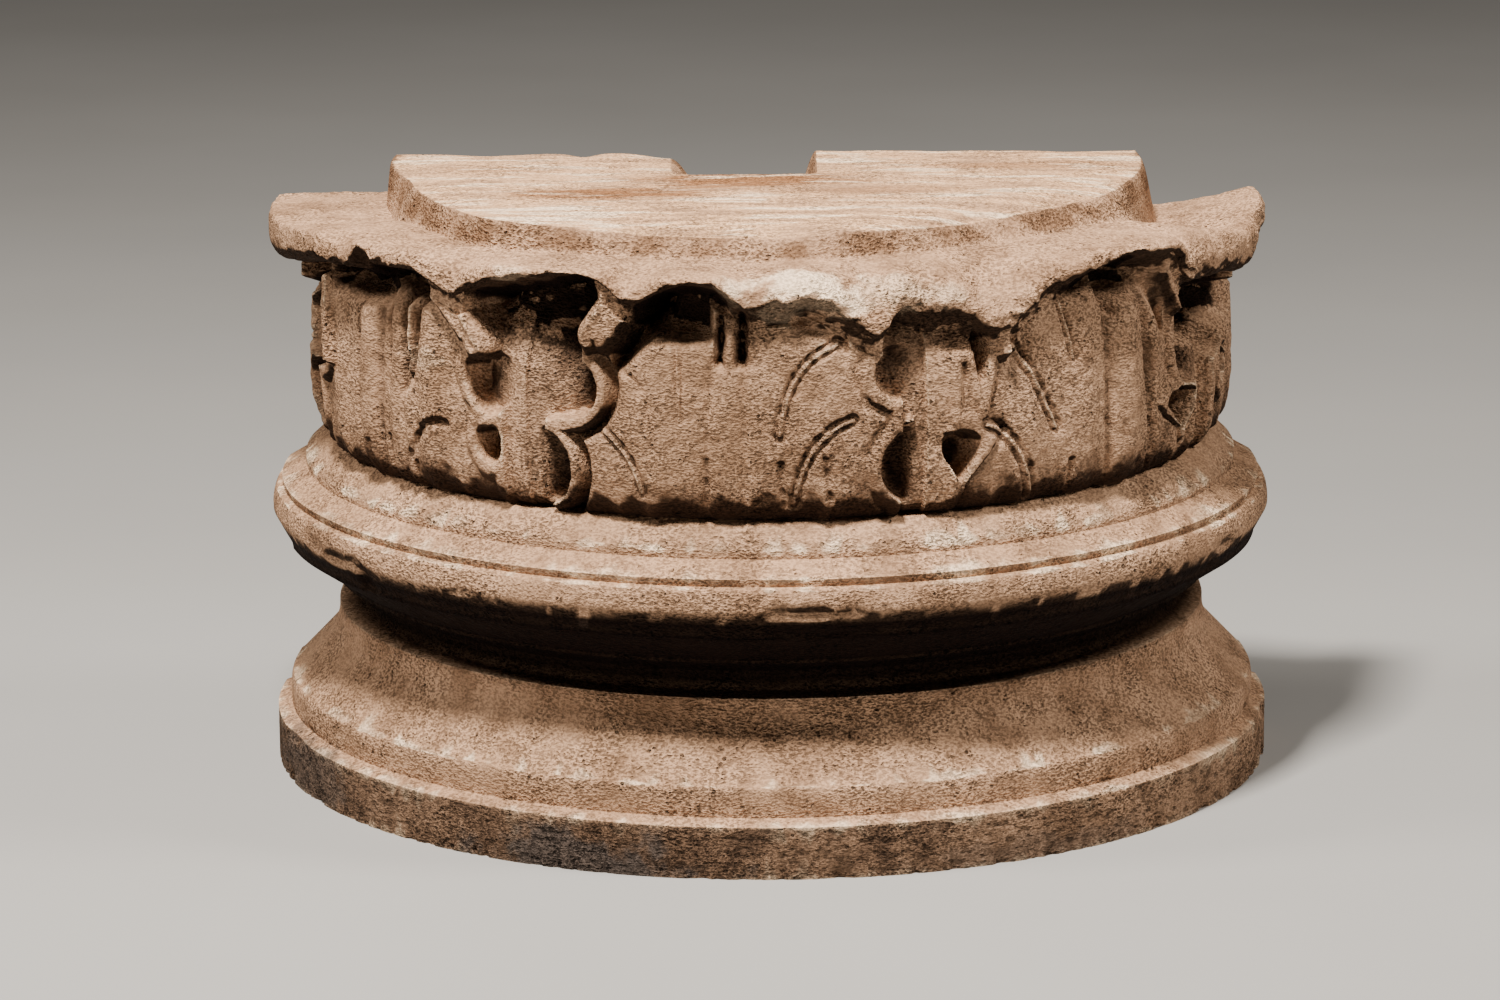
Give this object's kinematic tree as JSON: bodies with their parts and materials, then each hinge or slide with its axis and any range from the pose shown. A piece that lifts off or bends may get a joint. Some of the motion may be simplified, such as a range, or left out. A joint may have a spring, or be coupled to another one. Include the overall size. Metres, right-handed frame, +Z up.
{
  "type": "limestone capital",
  "caption": "Half-round stone capital: turned plinth, dark neck and torus below a ring of broken acanthus leaves, with a low boss on top.",
  "frame": {"origin": "on the underside, on the axis that the mouldings are turned about, just in front of the flat rear cut", "axes": "+Z up along that axis, +X along the width to the right of the carved front, -Y out of the carved front, +Y out of the flat rear cut"},
  "size_m": [0.4964, 0.2754, 0.2963],
  "materials": {
    "limestone": "rough, weathered, hand tooled"
  },
  "bodies": {
    "root": {"capital_block": "limestone"}
  },
  "joints": []
}
